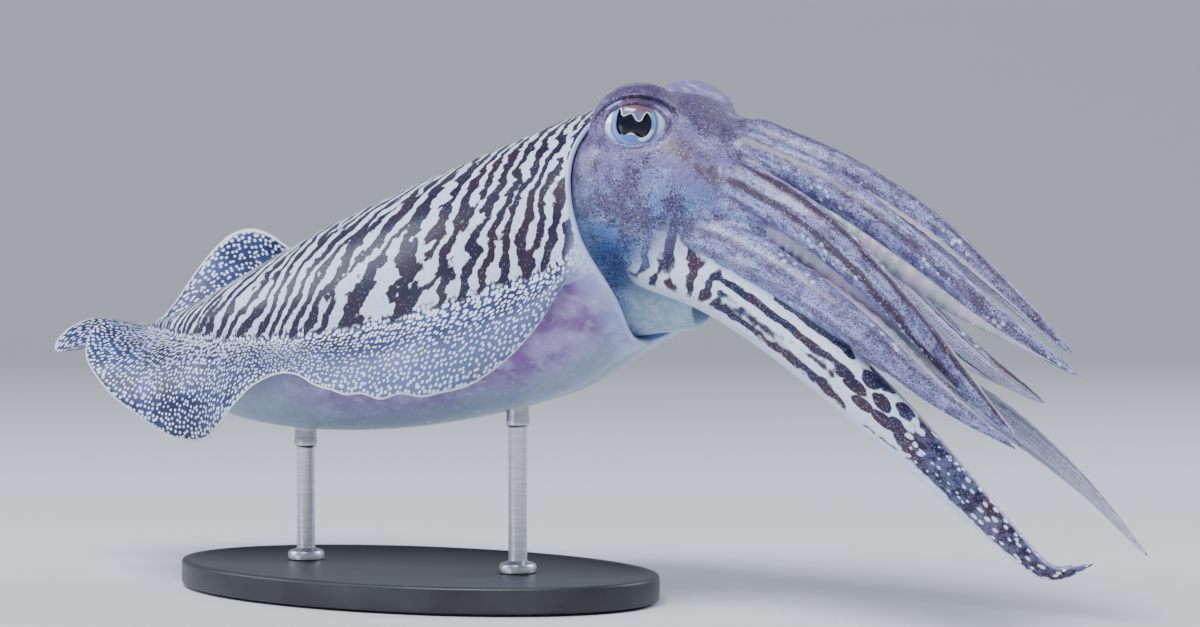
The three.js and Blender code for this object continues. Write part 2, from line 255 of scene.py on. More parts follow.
whole = np.ones((len(rows), len(ring)))
fin_columns = [int(np.argmin(np.abs(column_reach - 0.55) + (column_sheet * column_side != side) * 9
                             + (column_sheet < 0) * 9)) for side in (1, -1)]
fin_along = np.where(column_side > 0, lengthwise[:, [fin_columns[0]]], lengthwise[:, [fin_columns[1]]])
root_columns = [int(np.argmax((column_sheet == 1) & (column_side == side) & (column_reach < 0.12)))
                for side in (1, -1)]
fin_across = np.where(column_side > 0, np.abs(girth) - np.abs(girth[:, [root_columns[0]]]),
                      np.abs(girth) - np.abs(girth[:, [root_columns[1]]]))
store(mantle, "fin_along", fin_along)
store(mantle, "fin_across", fin_across)
store(mantle, "place", whole * np.array(row_place)[:, None])
store(mantle, "lengthwise", lengthwise)
store(mantle, "girth", girth)
store(mantle, "degrees", whole * column_angle)
store(mantle, "reach", whole * column_reach)
store(mantle, "under", whole * (column_sheet < 0))
store(mantle, "inside", (np.arange(len(rows)) > len(rows) - 6)[:, None] * whole)
close_piece(mantle)


# Head, arms and funnel. In life the head is a firm block of flesh set into the mantle's mouth, with
# an eye on each side and eight arms in a ring round its front. They are modelled as plain bodies,
# joined and remeshed into one skin, and then the folds are raised in it.
HEAD = [
    (0, 54, 115, 30, 24, 6), (1, 72, 123, 32.5, 29, -4), (2, 88, 132, 33, 30, -18),
    (3, 104, 125, 33, 27, -27), (4, 119, 117, 27, 21, -30), (5, 131, 110, 16, 14, -30),
]
HEAD_BOXINESS = 0.78
EYE_CENTRE = (91, 21, 149.2)
EYE_RADIUS = 12.5
EYE_AXIS = (0.34, 0.935, 0.08)
BROW_CENTRE = (90, 17.5, 147.5)
BROW_RADIUS = 15.6
LEFT_EYE_RISE = 2.2
ARM_ROOT_DEPTH = 10
ARMS = {
    "arm_1_right": (15.6, 1.0, 0.6, 0.86, [
        (121, -9, 142), (150, -11, 130), (176, -12, 113), (200, -10, 94), (226, -7, 76)]),
    "arm_1_left": (13.7, 0.95, 0.47, 0.86, [
        (118, 9, 146), (146, 11, 135), (173, 12, 119), (196, 10, 101), (219, 6, 82)]),
    "arm_2_right": (15.1, 1.5, 0.77, 0.86, [
        (125, -21, 132), (151, -26, 119), (173, -25, 100), (192, -18, 77), (210, -12, 56)]),
    "arm_2_left": (13.2, 0.95, 0.5, 0.86, [
        (120, 21, 131), (143, 26, 116), (163, 24, 97), (186, 18, 80), (209, 12, 67)]),
    "arm_3_right": (16.8, 1.05, 0.68, 0.86, [
        (114, -23, 117), (141, -27, 105), (166, -30, 90), (188, -27, 72), (212, -22, 56)]),
    "arm_3_left": (14.4, 1.25, 0.6, 0.86, [
        (114, 22, 117), (134, 27, 104), (152, 27, 91), (172, 20, 77), (190, 13, 64)]),
    "arm_4_right": (21.6, 1.6, 0.72, 0.68, [
        (100, -21, 109.5), (117, -22, 103.5), (138, -24, 91.5), (161, -27, 75), (185, -25, 54),
        (207, -21, 32), (220, -18, 21), (233, -16, 24)]),
    "arm_4_left": (19, 1.0, 0.72, 0.68, [
        (100, 20, 107), (117, 20, 99.5), (139, 22, 86.5), (163, 26, 74), (190, 27, 61), (215, 26, 43),
        (237, 24, 22)]),
}
CROWN, CROWN_END = np.array([112, 0, 124]), np.array([222, 0, 52])
FUNNEL = [
    (0, 58, 101, 24, 14), (1, 74, 98, 20, 14), (2, 90, 97, 14, 11), (3, 103, 95, 9.5, 7.5),
]
FUNNEL_PITCH = -8
WEBS = [
    ("arm_1_right", "arm_1_left", 0.26), ("arm_1_right", "arm_2_right", 0.26),
    ("arm_2_right", "arm_3_right", 0.5), ("arm_3_right", "arm_4_right", 0.2),
    ("arm_1_left", "arm_2_left", 0.26), ("arm_2_left", "arm_3_left", 0.42),
    ("arm_3_left", "arm_4_left", 0.2), ("arm_4_left", "arm_4_right", 0.2),
]


def smooth_path(points, count):
    """Points spaced evenly on a smooth curve through the given ones."""
    points = np.array(points, float)
    points = np.vstack([2 * points[0] - points[1], points, 2 * points[-1] - points[-2]])
    f = np.linspace(0, 1, 25)[:-1, None]
    curve = []
    for a, b, c, d in zip(points, points[1:], points[2:], points[3:]):
        curve.append(0.5 * (2 * b + (c - a) * f + (2 * a - 5 * b + 4 * c - d) * f**2
                            + (3 * b - a - 3 * c + d) * f**3))
    curve = np.vstack([*curve, points[-2:-1]])
    length = np.concatenate([[0], np.cumsum(np.linalg.norm(np.diff(curve, axis=0), axis=1))])
    spots = np.linspace(0, length[-1], count)
    return np.stack([np.interp(spots, length, curve[:, axis]) for axis in range(3)], axis=1)


def unit(vectors):
    return vectors / np.linalg.norm(vectors, axis=-1)[..., None]


def arm_frames(name, count=81):
    """An arm's centre line, its direction, its inward and sideways directions, and its radius."""
    width, power, sharpness, thin, points = ARMS[name]
    root = np.array(points[0]) + unit(np.array(points[0], float) - points[1]) * ARM_ROOT_DEPTH
    middle = smooth_path([root, *points], count)
    ahead = unit(np.gradient(middle, axis=0))
    u = np.linspace(0, 1, count)
    inward = CROWN + (CROWN_END - CROWN) * u[:, None] - middle
    inward = unit(inward - ahead * (inward * ahead).sum(axis=1)[:, None])
    start = np.minimum(1, (0.85 if thin < 0.8 else 0.45) + u * 8)
    radius = width / 2 * (1 - (u * 0.985) ** power) ** sharpness * start
    return middle, ahead, inward, np.cross(ahead, inward), radius, u


def loop_piece(name, rows):
    """A closed tube from rings of points, its ends filled."""
    rows = np.array(rows)
    piece = grid_piece(name, np.concatenate([rows, rows[:, :1]], axis=1))
    close_piece(piece)
    return piece


def oval_tube(name, keys, pitches, count, around, boxiness=1.0):
    """A bent tube of upright ovals from keys of x, z, half width and half height."""
    rows = []
    angle = np.linspace(0, 2 * np.pi, around, endpoint=False)
    for i in np.linspace(0, len(keys) - 1, count):
        x, z, width, height = (along(keys, i, column) for column in (1, 2, 3, 4))
        pitch = np.radians(pitches(i))
        up = height * np.sign(np.cos(angle)) * np.abs(np.cos(angle)) ** boxiness
        across = width * np.sign(np.sin(angle)) * np.abs(np.sin(angle)) ** boxiness
        rows.append(np.stack([x - up * np.sin(pitch), -across, z + up * np.cos(pitch)], axis=1))
    return loop_piece(name, rows)


def arm_piece(name):
    middle, ahead, _, _, radius, _ = arm_frames(name)
    thin = ARMS[name][3]
    side = unit(np.array([0, 1, 0]) - ahead * ahead[:, 1:2])
    up = np.cross(ahead, side)
    angle = np.linspace(0, 2 * np.pi, 24, endpoint=False)
    rows = [m + r * (np.cos(angle)[:, None] * a + thin * np.sin(angle)[:, None] * b)
            for m, r, a, b in zip(middle, np.maximum(radius, 0.8), up, side)]
    return loop_piece(name, rows)


def web_piece(first, second, end):
    """The thin web of skin between the roots of two arms, hollowed towards the crown's middle."""
    one, other = arm_frames(first), arm_frames(second)
    t = np.linspace(0, 1, 15)[:, None]
    rows = []
    for i, u in enumerate(np.linspace(0.02, end, 26)):
        reach = u * (1 - 0.55 * hill(t, 0.5, 0.33) * (i / 25))
        a = np.stack([np.interp(reach[:, 0], one[5], one[0][:, axis]) for axis in range(3)], axis=1)
        b = np.stack([np.interp(reach[:, 0], other[5], other[0][:, axis]) for axis in range(3)], axis=1)
        inward = np.stack([np.interp(reach[:, 0], one[5], (one[2] + other[2])[:, axis])
                           for axis in range(3)], axis=1)
        push = -4 + 5.5 * ease(i / 18) + 2.0 * np.sin(np.pi * t) * i / 25
        sheet = a * (1 - t) + b * t + unit(inward) * push
        thick = unit(inward) * 1.1
        rows.append(np.concatenate([sheet + thick, (sheet - thick)[::-1]]))
    return loop_piece("web", rows)


def join(pieces):
    bpy.ops.object.select_all(action="DESELECT")
    for piece in pieces:
        piece.select_set(True)
    bpy.context.view_layer.objects.active = pieces[0]
    bpy.ops.object.join()
    return pieces[0]


def apply_modifier(piece, kind, **settings):
    bpy.ops.object.select_all(action="DESELECT")
    piece.select_set(True)
    bpy.context.view_layer.objects.active = piece
    bpy.ops.object.modifier_add(type=kind)
    modifier = piece.modifiers[-1]
    for key, value in settings.items():
        setattr(modifier, key, value)
    bpy.ops.object.modifier_apply(modifier=modifier.name)


skull = oval_tube("head_skin", HEAD, lambda i: along(HEAD, i, 5), 50, 72, HEAD_BOXINESS)
lumps = [skull]
for side in (-1, 1):
    bpy.ops.object.select_all(action="DESELECT")
    bpy.ops.mesh.primitive_uv_sphere_add(
        segments=48, ring_count=24, radius=BROW_RADIUS * MM,
        location=Vector((BROW_CENTRE[0], side * BROW_CENTRE[1],
                         BROW_CENTRE[2] + LEFT_EYE_RISE * (side > 0))) * MM)
    bpy.ops.object.transform_apply(location=True, rotation=False, scale=False)
    lumps.append(bpy.context.object)
lumps += [arm_piece(name) for name in ARMS]
lumps += [web_piece(*web) for web in WEBS]
lumps.append(oval_tube("funnel_skin", FUNNEL, lambda i: FUNNEL_PITCH, 20, 40))
SKIN_VOXEL = 1.0
SKIN_SMOOTHING = 8
SKIN_SHARE_KEPT = 0.5
head = join(lumps)
apply_modifier(head, "REMESH", mode="VOXEL", voxel_size=SKIN_VOXEL * MM, use_smooth_shade=True)
apply_modifier(head, "SMOOTH", factor=0.5, iterations=SKIN_SMOOTHING)
apply_modifier(head, "DECIMATE", ratio=SKIN_SHARE_KEPT)


def read_points(piece):
    points = np.empty(len(piece.data.vertices) * 3)
    piece.data.vertices.foreach_get("co", points)
    return points.reshape(-1, 3) / MM


def write_points(piece, points):
    piece.data.vertices.foreach_set("co", (points * MM).astype(np.float32).ravel())
    piece.data.update()


def choose(piece, faces):
    """Goes into edit mode with just these faces selected."""
    edit(piece)
    bpy.ops.mesh.select_all(action="DESELECT")
    leave_edit()
    piece.data.polygons.foreach_set("select", np.asarray(faces, bool))
    bpy.ops.object.mode_set(mode="EDIT")
    bpy.ops.mesh.select_mode(type="FACE")


def face_middles(piece):
    middles = np.empty(len(piece.data.polygons) * 3)
    piece.data.polygons.foreach_get("center", middles)
    return middles.reshape(-1, 3) / MM


def eye_axes(side):
    """An eye's outward axis, its forward and its upward direction."""
    out = unit(np.array([EYE_AXIS[0], side * EYE_AXIS[1], EYE_AXIS[2]]))
    up = unit(np.array([0.12, 0, 1]) - out * np.dot([0.12, 0, 1], out))
    forward = np.cross(up, out) * side
    return out, -forward if forward[0] < 0 else forward, up


def eye_middle(side):
    return np.array([EYE_CENTRE[0], side * EYE_CENTRE[1], EYE_CENTRE[2] + LEFT_EYE_RISE * (side > 0)])


def eye_view(points, side):
    """Points as seen along an eye's axis: forward, up, and out from its centre."""
    out, forward, up = eye_axes(side)
    offset = points - eye_middle(side)
    return offset @ forward, offset @ up, offset @ out


# The skin round the eyes is divided finer and folded into lids.
for span in (17, 14.5):
    middles = face_middles(head)
    near = np.zeros(len(middles), bool)
    for side in (-1, 1):
        ahead, up, out = eye_view(middles, side)
        near |= (np.hypot(ahead, up) < span) & (out > 0)
    choose(head, near)
    bpy.ops.mesh.subdivide(number_cuts=1, smoothness=0)
    leave_edit()
LID_LENGTH, LID_HEIGHT = 9.5, 6.3
LID_TILT = math.radians(9)
points = read_points(head)
for side in (-1, 1):
    for _ in range(2):
        ahead, up, out = eye_view(points, side)
        axis = eye_axes(side)[0]
        x = ahead * math.cos(LID_TILT) + up * math.sin(LID_TILT)
        y = up * math.cos(LID_TILT) - ahead * math.sin(LID_TILT)
        around = np.hypot(x / LID_LENGTH, (y + 0.3) / LID_HEIGHT)
        span = np.hypot(ahead, up)
        ball = np.sqrt(np.clip(EYE_RADIUS**2 - span**2, 9, None))
        facing = ease((out - 1) / 3) * ease((18 - span) / 3)
        brow_fold = hill(around, 1.32, 0.1) * ease((y + 1) / 4)
        target = np.where(around < 1, ball - 2.5 * ease((1 - around) / 0.12) + 0.35, out)
        skirt = ball + 0.9 * hill(around, 1.1, 0.11) - 0.2
        target = np.where((around >= 1) & (around < 1.22), skirt * ease((1.22 - around) / 0.1)
                          + out * (1 - ease((1.22 - around) / 0.1)), target)
        target = target - 0.9 * brow_fold + 0.5 * hill(around, 1.55, 0.14) * ease((y + 2) / 4)
        points = points + ((target - out) * facing * 0.75)[:, None] * axis
write_points(head, points)


# The funnel's mouth is hollowed, and thin rippling membranes run along both sides of each arm.
points = read_points(head)
funnel_end = np.array([FUNNEL[-1][1], 0, FUNNEL[-1][2]], float)
funnel_way = np.array([math.cos(math.radians(-12)), 0, math.sin(math.radians(-12))])
offset = points - funnel_end
depth = offset @ funnel_way
spread = offset - depth[:, None] * funnel_way
spread = np.hypot(spread[:, 1] / 1.25, np.hypot(spread[:, 0], spread[:, 2]))
bore = ease((5.6 - spread) / 1.2) * ease((depth + 4) / 3)
points -= (bore * 13)[:, None] * funnel_way
write_points(head, points)

# The mouth lies in the ring of arms: a soft round lip, pleated like a drawn purse, with the tip of
# the beak in its middle.
MOUTH = np.array([131, 0, 110])
MOUTH_WAY = (CROWN_END - CROWN) / np.linalg.norm(CROWN_END - CROWN)


def mouth_view(points):
    """How far points are ahead of the mouth, off its axis, and their angle round it."""
    offset = points - MOUTH
    ahead = offset @ MOUTH_WAY
    flat = offset - ahead[:, None] * MOUTH_WAY
    return ahead, np.linalg.norm(flat, axis=1), np.arctan2(flat[:, 1], flat[:, 2])


ahead, spread, _ = mouth_view(face_middles(head))
choose(head, (spread < 13) & (np.abs(ahead) < 7))
bpy.ops.mesh.subdivide(number_cuts=1, smoothness=0)
leave_edit()
points = read_points(head)
ahead, spread, turn = mouth_view(points)
pout = 3.4 * hill(spread, 6.6, 2.9) - 4.5 * ease((4.4 - spread) / 2.4) + 3.2 * ease((2.3 - spread) / 1.6)
pout += 0.5 * np.sin(15 * turn + 0.5 * np.sin(3 * turn)) * hill(spread, 7.2, 2.8)
points += (pout * ease((7 - np.abs(ahead)) / 2))[:, None] * MOUTH_WAY
write_points(head, points)

MEMBRANES = {
    ("arm_1_right", 1): 2.5, ("arm_1_right", -1): 6.5, ("arm_2_right", 1): 2.5, ("arm_2_right", -1): 7.5,
    ("arm_3_right", 1): 3.5, ("arm_3_right", -1): 2.5, ("arm_4_right", 1): 2.5, ("arm_4_right", -1): 2.5,
    ("arm_1_left", 1): 5, ("arm_1_left", -1): 2.5, ("arm_2_left", 1): 5.5, ("arm_2_left", -1): 2.5,
    ("arm_3_left", 1): 3, ("arm_3_left", -1): 2.5, ("arm_4_left", 1): 2.5, ("arm_4_left", -1): 2.5,
}


def membrane(name, side, width):
    middle, ahead, inward, sideways, radius, u = arm_frames(name, 121)
    thin = ARMS[name][3]
    upright = np.array([0, 1, 0]) - ahead * ahead[:, 1:2]
    squash = 1 - (1 - thin) * np.abs((unit(upright) * sideways).sum(axis=1)) ** 2
    shift = side * radius * 0.72 * squash
    rows = []
    for i in range(8, 119):
        grow = ease((u[i] - 0.05) / 0.2) * ease((1.0 - u[i]) / 0.45)
        reach = width * grow
        out = unit(inward[i] * 0.8 + side * sideways[i] * 0.6)
        across = np.cross(out, ahead[i])
        root = middle[i] + sideways[i] * shift[i] + inward[i] * radius[i] * 0.3
        t = np.array([0, 0.55, 1.0])
        mm = i / 120 * np.linalg.norm(np.diff(middle, axis=0), axis=1).sum()
        ripple = np.sin(mm * 1.3 + 2 * np.sin(mm * 0.21 + side)) * 0.08 * reach * t**2
        sheet = root + (out * (t * reach)[:, None]) + across * ripple[:, None]
        thick = across * ((0.75 - 0.45 * t) * ease((1.03 - t) / 0.06) * (0.3 + 0.7 * grow))[:, None]
        rows.append(np.concatenate([sheet + thick / 2, (sheet - thick / 2)[::-1]]))
    return loop_piece("membrane", rows)


sheets = [membrane(name, side, width) for (name, side), width in MEMBRANES.items()]
for sheet in sheets:
    store(sheet, "membrane", np.ones(len(sheet.data.vertices)))
head = join([head, *sheets])


# What the skin's colours need to know: the nearest arm, the place along and round it.
points = read_points(head)
nearest = np.full(len(points), 1e9)
second, nearest_low, nearest_high = nearest.copy(), nearest.copy(), nearest.copy()
marks = {key: np.zeros(len(points)) for key in (
    "arm_place", "arm_mm", "arm_round", "arm_turn", "oral", "arm_brown", "low_mm", "low_round", "low_turn")}
for name in ARMS:
    middle, ahead, inward, sideways, radius, u = arm_frames(name)
    tree = kdtree.KDTree(len(middle))
    for i, spot in enumerate(middle):
        tree.insert(spot, i)
    tree.balance()
    spot = np.array([tree.find(point)[1] for point in points])
    offset = points - middle[spot]
    distance = np.linalg.norm(offset, axis=1) / np.maximum(radius[spot], 1)
    closer = distance < nearest
    second = np.minimum(second, np.maximum(distance, nearest))
    nearest = np.minimum(distance, nearest)
    step = np.linalg.norm(middle[1] - middle[0])
    slide = (offset * ahead[spot]).sum(axis=1)
    across, inner = (offset * sideways[spot]).sum(axis=1), (offset * inward[spot]).sum(axis=1)
    turn = np.arctan2(across * (1 if name.endswith("right") else -1), -inner)
    found = {
        "arm_place": u[spot], "arm_mm": spot * step + slide,
        "arm_round": turn * radius[spot], "arm_turn": turn,
        "oral": inner / np.maximum(np.hypot(across, inner), 0.1),
        "arm_brown": np.full(len(points), {"1": 0.7, "2": 1.0, "3": 0.45, "4": 0.0}[name[4]]),
    }
    for key, values in found.items():
        marks[key] = np.where(closer, values, marks[key])
    if "arm_4" in name:
        closer = distance < nearest_low
        nearest_low = np.where(closer, distance, nearest_low)
        for low_key, key in (("low_mm", "arm_mm"), ("low_round", "arm_round"), ("low_turn", "arm_turn")):
            marks[low_key] = np.where(closer, found[key], marks[low_key])
    else:
        nearest_high = np.minimum(nearest_high, distance)
marks["arm_near"], marks["low_near"] = nearest, nearest_low
marks["arm_sure"] = second - nearest
marks["arm_bars"] = ease(0.5 + (nearest_high - nearest_low) / 1.2)
ahead, spread, turn = mouth_view(points)
marks["mouth"] = np.where((ahead > -8) & (ahead < 9), spread, 99)
marks["mouth_turn"] = turn
for key, values in marks.items():
    store(head, key, values)


# Skin colours. In life they come from coloured cells in the skin, which make the dark bands on the back,
# the white dots on the fins and the specks on the head. Here they are patterns over the whole skin, and
# they follow the distances along and round each part.
class Value:
    """A number or colour on its way through a material, which adds its own Math nodes."""

    def __init__(self, paint, socket):
        self.paint, self.socket = paint, socket

    def math(self, operation, *others):
        return self.paint.add("ShaderNodeMath", {"operation": operation}, dict(enumerate((self, *others))))

    def __add__(self, other):
        return self.math("ADD", other)

    __radd__ = __add__

    def __mul__(self, other):
        return self.math("MULTIPLY", other)

    __rmul__ = __mul__

    def __sub__(self, other):
        return self.math("SUBTRACT", other)

    def __rsub__(self, other):
        return self.paint.add("ShaderNodeMath", {"operation": "SUBTRACT"}, {0: other, 1: self})

    def __truediv__(self, other):
        return self.math("DIVIDE", other)

    def clamp(self):
        return self.paint.add("ShaderNodeClamp", {}, {"Value": self})

    def rise(self, low, high):
        """0 below low, 1 above high, and smooth between them."""
        return self.paint.add(
            "ShaderNodeMapRange", {"interpolation_type": "SMOOTHSTEP"},
            {"Value": self, "From Min": low, "From Max": high, "To Min": 0.0, "To Max": 1.0})

    def either(self, other):
        return self.math("MAXIMUM", other)


class Paint:
    """A material and its nodes."""

    def __init__(self, name):
        self.material = bpy.data.materials.new(name)
        self.material.use_nodes = True
        self.tree = self.material.node_tree
        self.tree.nodes.clear()

    def add(self, kind, settings, inputs, output=0):
        node = self.tree.nodes.new(kind)
        for key, value in settings.items():
            setattr(node, key, value)
        for key, value in inputs.items():
            if isinstance(value, Value):
                self.tree.links.new(value.socket, node.inputs[key])
            else:
                node.inputs[key].default_value = value
        return Value(self, node.outputs[output] if len(node.outputs) else None)

    def attribute(self, name):
        return self.add("ShaderNodeAttribute", {"attribute_name": name}, {}, "Fac")

    def object_point(self):
        return self.add("ShaderNodeTexCoord", {}, {}, "Object")

    def point(self, x, y, z=0.0):
        return self.add("ShaderNodeCombineXYZ", {}, {0: x, 1: y, 2: z})

    def part(self, point, index):
        """One of a point's three numbers."""
        return self.add("ShaderNodeSeparateXYZ", {}, {0: point}, index)

    def noise(self, where, scale, detail=3.0, roughness=0.55):
        return self.add("ShaderNodeTexNoise", {}, {
            "Vector": where, "Scale": scale, "Detail": detail, "Roughness": roughness})

    def cells(self, where, scale, randomness=1.0, dimensions="3D"):
        return self.add("ShaderNodeTexVoronoi", {"voronoi_dimensions": dimensions}, {
            "Vector": where, "Scale": scale, "Randomness": randomness}, "Distance")

    def blend(self, below, above, factor):
        def colour(value):
            return value if isinstance(value, Value) else (*value, 1)
        return self.add("ShaderNodeMix", {"data_type": "RGBA"}, {
            "Factor": factor, 6: colour(below), 7: colour(above)}, 2)

    def bump(self, height, distance, strength):
        return self.add("ShaderNodeBump", {}, {"Height": height, "Distance": distance, "Strength": strength})

    def finish(self, inputs):
        shader = self.add("ShaderNodeBsdfPrincipled", {}, inputs)
        self.add("ShaderNodeOutputMaterial", {}, {"Surface": shader})
        return self.material


skin = Paint("mantle_skin")
where = skin.object_point()
lengthwise_mm, girth_mm = skin.attribute("lengthwise"), skin.attribute("girth")
place, degrees, reach, under = (skin.attribute(name) for name in ("place", "degrees", "reach", "under"))
fin_along_mm, fin_across_mm = skin.attribute("fin_along"), skin.attribute("fin_across")
flank = girth_mm.math("ABSOLUTE")
fine = skin.noise(where, 1400, 2)
patches = skin.noise(where, 90, 3)
wander = skin.noise(skin.point(lengthwise_mm * 0.05, girth_mm * 0.05), 1.0, 1.0)
slant = 2.0 - 1.3 * place.rise(0.0, 0.42) - 0.55 * place.rise(0.45, 0.85)
wiggle = skin.noise(skin.point(lengthwise_mm * 0.2, girth_mm * 0.2), 1.0, 2)
rear_squeeze = (-25 - lengthwise_mm).math("MAXIMUM", 0.0)
across_stripes = lengthwise_mm - rear_squeeze * 0.3 + flank * slant + (wander - 0.5) * 7 + (wiggle - 0.5) * 7
stripe_noise = skin.add("ShaderNodeTexGabor", {"gabor_type": "2D"}, {
    "Vector": skin.point(across_stripes, girth_mm), "Scale": 0.078,
    "Frequency": (3.2 - 0.95 * flank.rise(2, 36)) / (0.95 + slant * 0.35),
    "Anisotropy": 0.84, "Orientation": 0.0}, "Value")
ragged = (skin.noise(where, 620, 3) - 0.5) * 0.16
stripe = (stripe_noise + ragged).rise(0.5, 0.54)

# dots on the fins, larger by the root
dot_point = skin.point(fin_along_mm + flank * 0.3, fin_across_mm)
dot_cells = skin.cells(dot_point, 0.56, 0.72, dimensions="2D")
dot_size = 0.42 - 0.14 * reach.rise(0.02, 0.4) + 0.07 * reach.rise(0.8, 0.97) + (patches - 0.5) * 0.16
dots = 1 - dot_cells.math("SUBTRACT", dot_size).rise(-0.05, 0.04)
on_fin = (fin_across_mm + (wander - 0.5) * 6 + (stripe_noise - 0.5) * 8).rise(-3.0, -1.4)
on_fin = on_fin * degrees.rise(60, 80)
edge = reach.rise(0.972, 0.99)

white, dark = (0.74, 0.83, 1.0), (0.008, 0.007, 0.035)
brown = (0.030, 0.012, 0.032)
dark_now = skin.blend(dark, brown, (patches.rise(0.42, 0.6) * (place.rise(0.3, 0.8) * 0.8 + 0.1)))
speck = skin.cells(where, 900, 1.0)
dark_now = skin.blend(dark_now, (0.30, 0.33, 0.60), (1 - speck.rise(0.14, 0.26)) * 0.4)
pale_now = skin.blend(white, (0.42, 0.53, 0.84), fine.rise(0.35, 0.75) * 0.6)
zebra = skin.blend(dark_now, pale_now, stripe)
fin_ground = skin.blend((0.010, 0.012, 0.07), (0.05, 0.07, 0.25), patches.rise(0.35, 0.7))
fin_ground = skin.blend(fin_ground, (0.16, 0.20, 0.42), place.rise(0.3, 0.6) * reach.rise(0.2, 0.7) * 0.7)
fin_top = skin.blend(fin_ground, (0.78, 0.85, 0.98), dots)
fin_top = skin.blend(fin_top, (0.86, 0.92, 1.0), edge)
back = skin.blend(zebra, fin_top, on_fin)

# belly and the fins' undersides
below = (degrees - 104 + (wander - 0.5) * 6).rise(-2, 3) * (1 - reach.rise(0.0, 0.02))
teal = (0.33, 0.47, 0.60)
lilac = skin.blend((0.26, 0.11, 0.38), (0.46, 0.36, 0.68), patches.rise(0.35, 0.65))
belly = skin.blend(lilac, teal, (degrees.rise(128, 165) + (1 - place.rise(0.25, 0.6))).clamp() * 0.85)
belly = skin.blend(belly, (0.62, 0.68, 0.90), skin.noise(where, 320, 4).rise(0.5, 0.72) * 0.4)
under_colour = skin.blend((0.48, 0.52, 0.80), (0.26, 0.30, 0.60), dots * 0.35 + patches * 0.3)
colour = skin.blend(back, belly, below)
colour = skin.blend(colour, under_colour, under * reach.rise(0.0, 0.05))
colour = skin.blend(colour, (0.86, 0.92, 1.0), edge)
collar = (place - 0.035 * (1 - degrees.rise(84, 100))).rise(0.945, 0.985) * degrees.rise(66, 90)
collar_colour = skin.blend((0.34, 0.38, 0.74), (0.52, 0.60, 0.86), patches.rise(0.4, 0.6))
colour = skin.blend(colour, collar_colour, collar * 0.85)
colour = skin.blend(colour, (0.50, 0.60, 0.90), place.rise(0.9965, 0.999))
# painted shade: the inner lip of the rim, curling into the mantle's opening, is darkened to blue
colour = skin.blend(colour, (0.20, 0.25, 0.48), skin.attribute("inside"))
height = skin.noise(where, 260, 4) * 0.6 + stripe * 0.25 + dots * on_fin * 0.5
mantle_material = skin.finish({
    "Base Color": colour, "Roughness": 0.42, "Specular IOR Level": 0.35, "Coat Weight": 0.25,
    "Coat Roughness": 0.2, "Normal": skin.bump(height, 0.0005, 0.6)})
mantle.data.materials.clear()
mantle.data.materials.append(mantle_material)


face = Paint("head_skin")
where = face.object_point()
arm_place, arm_mm, arm_round, arm_turn = (
    face.attribute(name) for name in ("arm_place", "arm_mm", "arm_round", "arm_turn"))
oral, bars, browned = (face.attribute(name) for name in ("oral", "arm_bars", "arm_brown"))
near, film = face.attribute("arm_near"), face.attribute("membrane")
fine = face.noise(where, 1300, 2)
grain = face.noise(where, 420, 4)
patches = face.noise(where, 75, 3)
by_arm = (1 - near.rise(1.05, 1.5)) * arm_place.rise(0.02, 0.1)
on_arm = by_arm * face.attribute("arm_sure").rise(0.03, 0.22)
forward_mm, height_mm = face.part(where, 0) * 1000, face.part(where, 2) * 1000
side_place = face.part(where, 1).math("ABSOLUTE") * 1000

# the head: lavender grey above, bluer on the cheek, with dark specks gathered in mottles
top = (0.21, 0.17, 0.40)
cheek = (0.14, 0.26, 0.60)
ground = face.blend(cheek, top, (height_mm + (patches - 0.5) * 30).rise(118, 140))
specks = face.cells(where, 1300, 1.0)
cloud = face.noise(where, 55, 4, 0.6)
mid_cloud = face.noise(where, 190, 4, 0.65)
ground = face.blend(ground, (0.36, 0.45, 0.82), mid_cloud.rise(0.5, 0.66) * 0.7)
ground = face.blend(ground, (0.56, 0.62, 0.88), patches.rise(0.52, 0.68) * mid_cloud.rise(0.42, 0.6) * 0.6)
shade = (cloud + (mid_cloud - 0.5) * 0.6).rise(0.44, 0.60) * height_mm.rise(106, 122)
ground = face.blend(ground, (0.075, 0.045, 0.12), shade * 0.85)
freckle = (1 - specks.rise(0.30, 0.52)) * (0.25 + 0.75 * (cloud + (mid_cloud - 0.5) * 0.5).rise(0.38, 0.56))
ground = face.blend(ground, (0.022, 0.016, 0.05), freckle * 0.9)
streak_mm = (height_mm - 147 + (forward_mm - 104) * 0.8 + (patches - 0.5) * 12).math("ABSOLUTE")
streak = (1 - streak_mm.rise(1.5, 6)) * forward_mm.rise(98, 108) * side_place.rise(8, 16)
ground = face.blend(ground, (0.09, 0.055, 0.075), streak * mid_cloud.rise(0.4, 0.52) * 0.75)
sparkle = 1 - face.cells(where, 950, 1.0).rise(0.12, 0.24)
ground = face.blend(ground, (0.72, 0.80, 1.0), sparkle * (0.25 + 0.55 * mid_cloud.rise(0.4, 0.6)))

# arms: pale lavender, with a brown line and white-spotted edges
line_noise = face.noise(face.point(arm_mm * 0.09, arm_round * 0.5), 1.0, 2)
side_mm = arm_round.math("ABSOLUTE")
brown_line = (1 - (side_mm + (line_noise - 0.5) * 4).math("SUBTRACT", 3.4).math("ABSOLUTE").rise(0.6, 2.0))
streaks = face.noise(face.point(arm_mm * 0.05, arm_round * 0.35), 1.0, 4, 0.65)
mottle = grain * 0.5 + mid_cloud * 0.5
arm_ground = face.blend((0.30, 0.32, 0.64), (0.12, 0.10, 0.25), mottle.rise(0.44, 0.58) * 0.85)
arm_ground = face.blend(arm_ground, (0.50, 0.56, 0.84), streaks.rise(0.52, 0.64) * 0.6)
arm_ground = face.blend(arm_ground, (0.10, 0.06, 0.12), (1 - streaks.rise(0.36, 0.50)) * browned * 0.8)
arm_ground = face.blend(arm_ground, (0.055, 0.022, 0.04), (brown_line * browned * 0.9))
